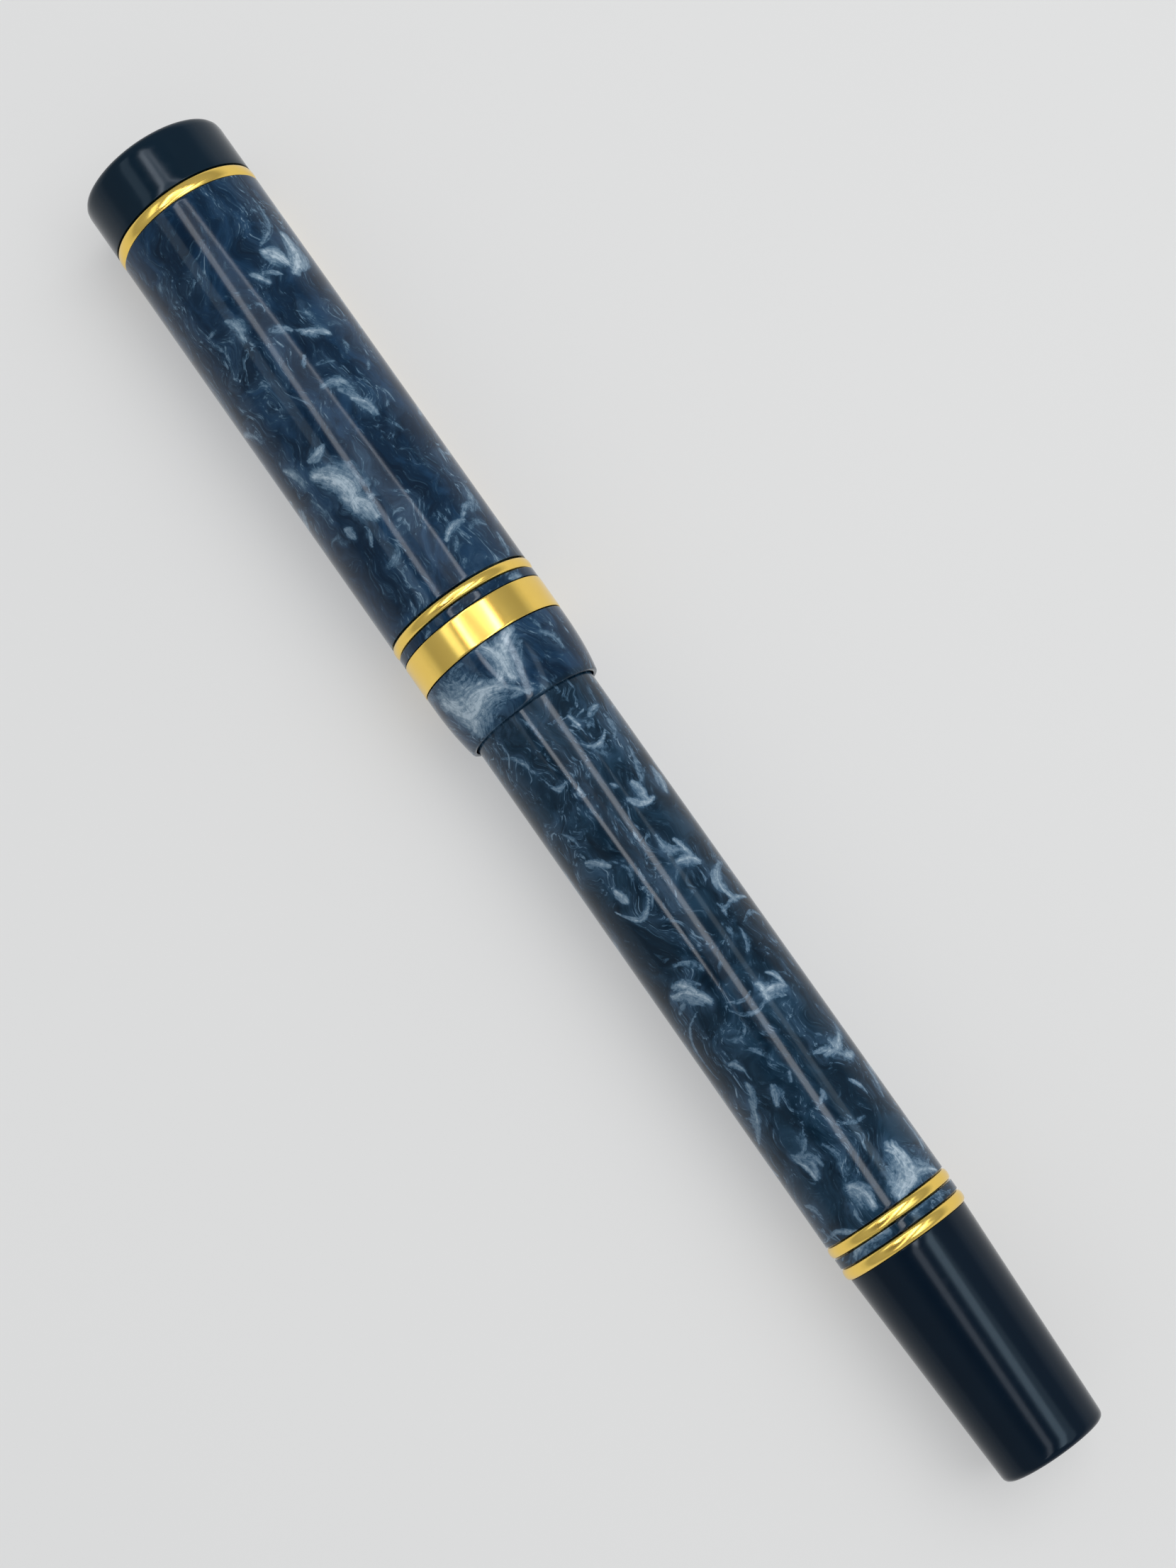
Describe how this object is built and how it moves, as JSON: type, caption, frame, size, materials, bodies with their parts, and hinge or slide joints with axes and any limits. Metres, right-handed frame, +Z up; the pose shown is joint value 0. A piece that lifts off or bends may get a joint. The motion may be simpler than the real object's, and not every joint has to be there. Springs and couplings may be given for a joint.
{
  "type": "fountain pen",
  "caption": "Capped fountain pen with marbled resin cap and barrel, black ends, gold bands, clip, nib unit and screw-piston ink converter.",
  "frame": {"origin": "on the surface the pen lies on, under the middle of its capped length", "axes": "+X along the pen's axis towards the cap's crown, +Z up, the pen lying on its side with the clip turned down towards -Y"},
  "size_m": [0.136, 0.0142, 0.0142],
  "materials": {
    "black_resin": "polished blue-black resin",
    "marbled_resin": "polished pearl resin, navy with blue-grey clouds and silver-blue feathering",
    "gold_trim": "mirror-polished gold plating",
    "inner_plastic": "moulded, satin",
    "nib_metal": "polished two-tone nib",
    "tipping": "ground and polished",
    "feed_plastic": "moulded, fine comb",
    "thread_brass": "machined, satin",
    "clear_plastic": "clear, polished",
    "chrome_sleeve": "polished",
    "piston_seal": "smooth"
  },
  "bodies": {
    "section": {"grip_section": "black_resin", "section_connector": "thread_brass", "nib_housing": "feed_plastic", "feed": "feed_plastic", "nib": "nib_metal", "nib_tipping": "tipping"},
    "cap_liner": {"inner_cap": "inner_plastic"},
    "cap": {"cap_crown": "black_resin", "clip_collar": "gold_trim", "cap_tube": "marbled_resin", "cap_band_narrow": "gold_trim", "cap_spacer": "marbled_resin", "cap_band_wide": "gold_trim", "cap_lip": "marbled_resin"},
    "clip": {"clip_arm": "gold_trim"},
    "barrel_core": {"barrel_bush": "thread_brass"},
    "barrel": {"barrel_tube": "marbled_resin", "barrel_ring_upper": "gold_trim", "barrel_spacer": "marbled_resin", "barrel_ring_lower": "gold_trim", "tail_cap": "black_resin"},
    "converter": {"converter_mouth": "inner_plastic", "converter_tube": "clear_plastic", "converter_sleeve": "chrome_sleeve"},
    "converter_drive": {"converter_nut": "thread_brass", "converter_knob": "inner_plastic"},
    "converter_plunger": {"converter_rod": "inner_plastic", "converter_piston": "piston_seal"}
  },
  "joints": [
    {"name": "cap_pull", "type": "slide", "parent": "section", "child": "cap_liner", "axis": [1, 0, 0], "range_m": [0, 0.07]},
    {"name": "cap_turn", "type": "hinge", "parent": "cap_liner", "child": "cap", "pos_m": [0.03, 0, 0.00712], "axis": [1, 0, 0], "range_deg": [0, 480]},
    {"name": "clip_flex", "type": "hinge", "parent": "cap", "child": "clip", "pos_m": [0.0611, -0.00523, 0.00144], "axis": [0, -0.7358, 0.6772], "range_deg": [0, 4], "stiffness_Nm_per_rad": 3},
    {"name": "barrel_pull", "type": "slide", "parent": "section", "child": "barrel_core", "axis": [-1, 0, 0], "range_m": [0, 0.075]},
    {"name": "barrel_turn", "type": "hinge", "parent": "barrel_core", "child": "barrel", "pos_m": [-0.02, 0, 0.00712], "axis": [-1, 0, 0], "range_deg": [0, 1800]},
    {"name": "converter_pull", "type": "slide", "parent": "section", "child": "converter", "axis": [-1, 0, 0], "range_m": [0, 0.007]},
    {"name": "knob_turn", "type": "hinge", "parent": "converter", "child": "converter_drive", "pos_m": [-0.045, 0, 0.00712], "axis": [1, 0, 0], "range_deg": [0, 2880]},
    {"name": "piston_travel", "type": "slide", "parent": "converter", "child": "converter_plunger", "axis": [-1, 0, 0], "range_m": [0, 0.0232]}
  ],
  "couplings": [
    {"joint": "knob_turn", "follows": "piston_travel", "rad_per_m": 2166.6}
  ]
}
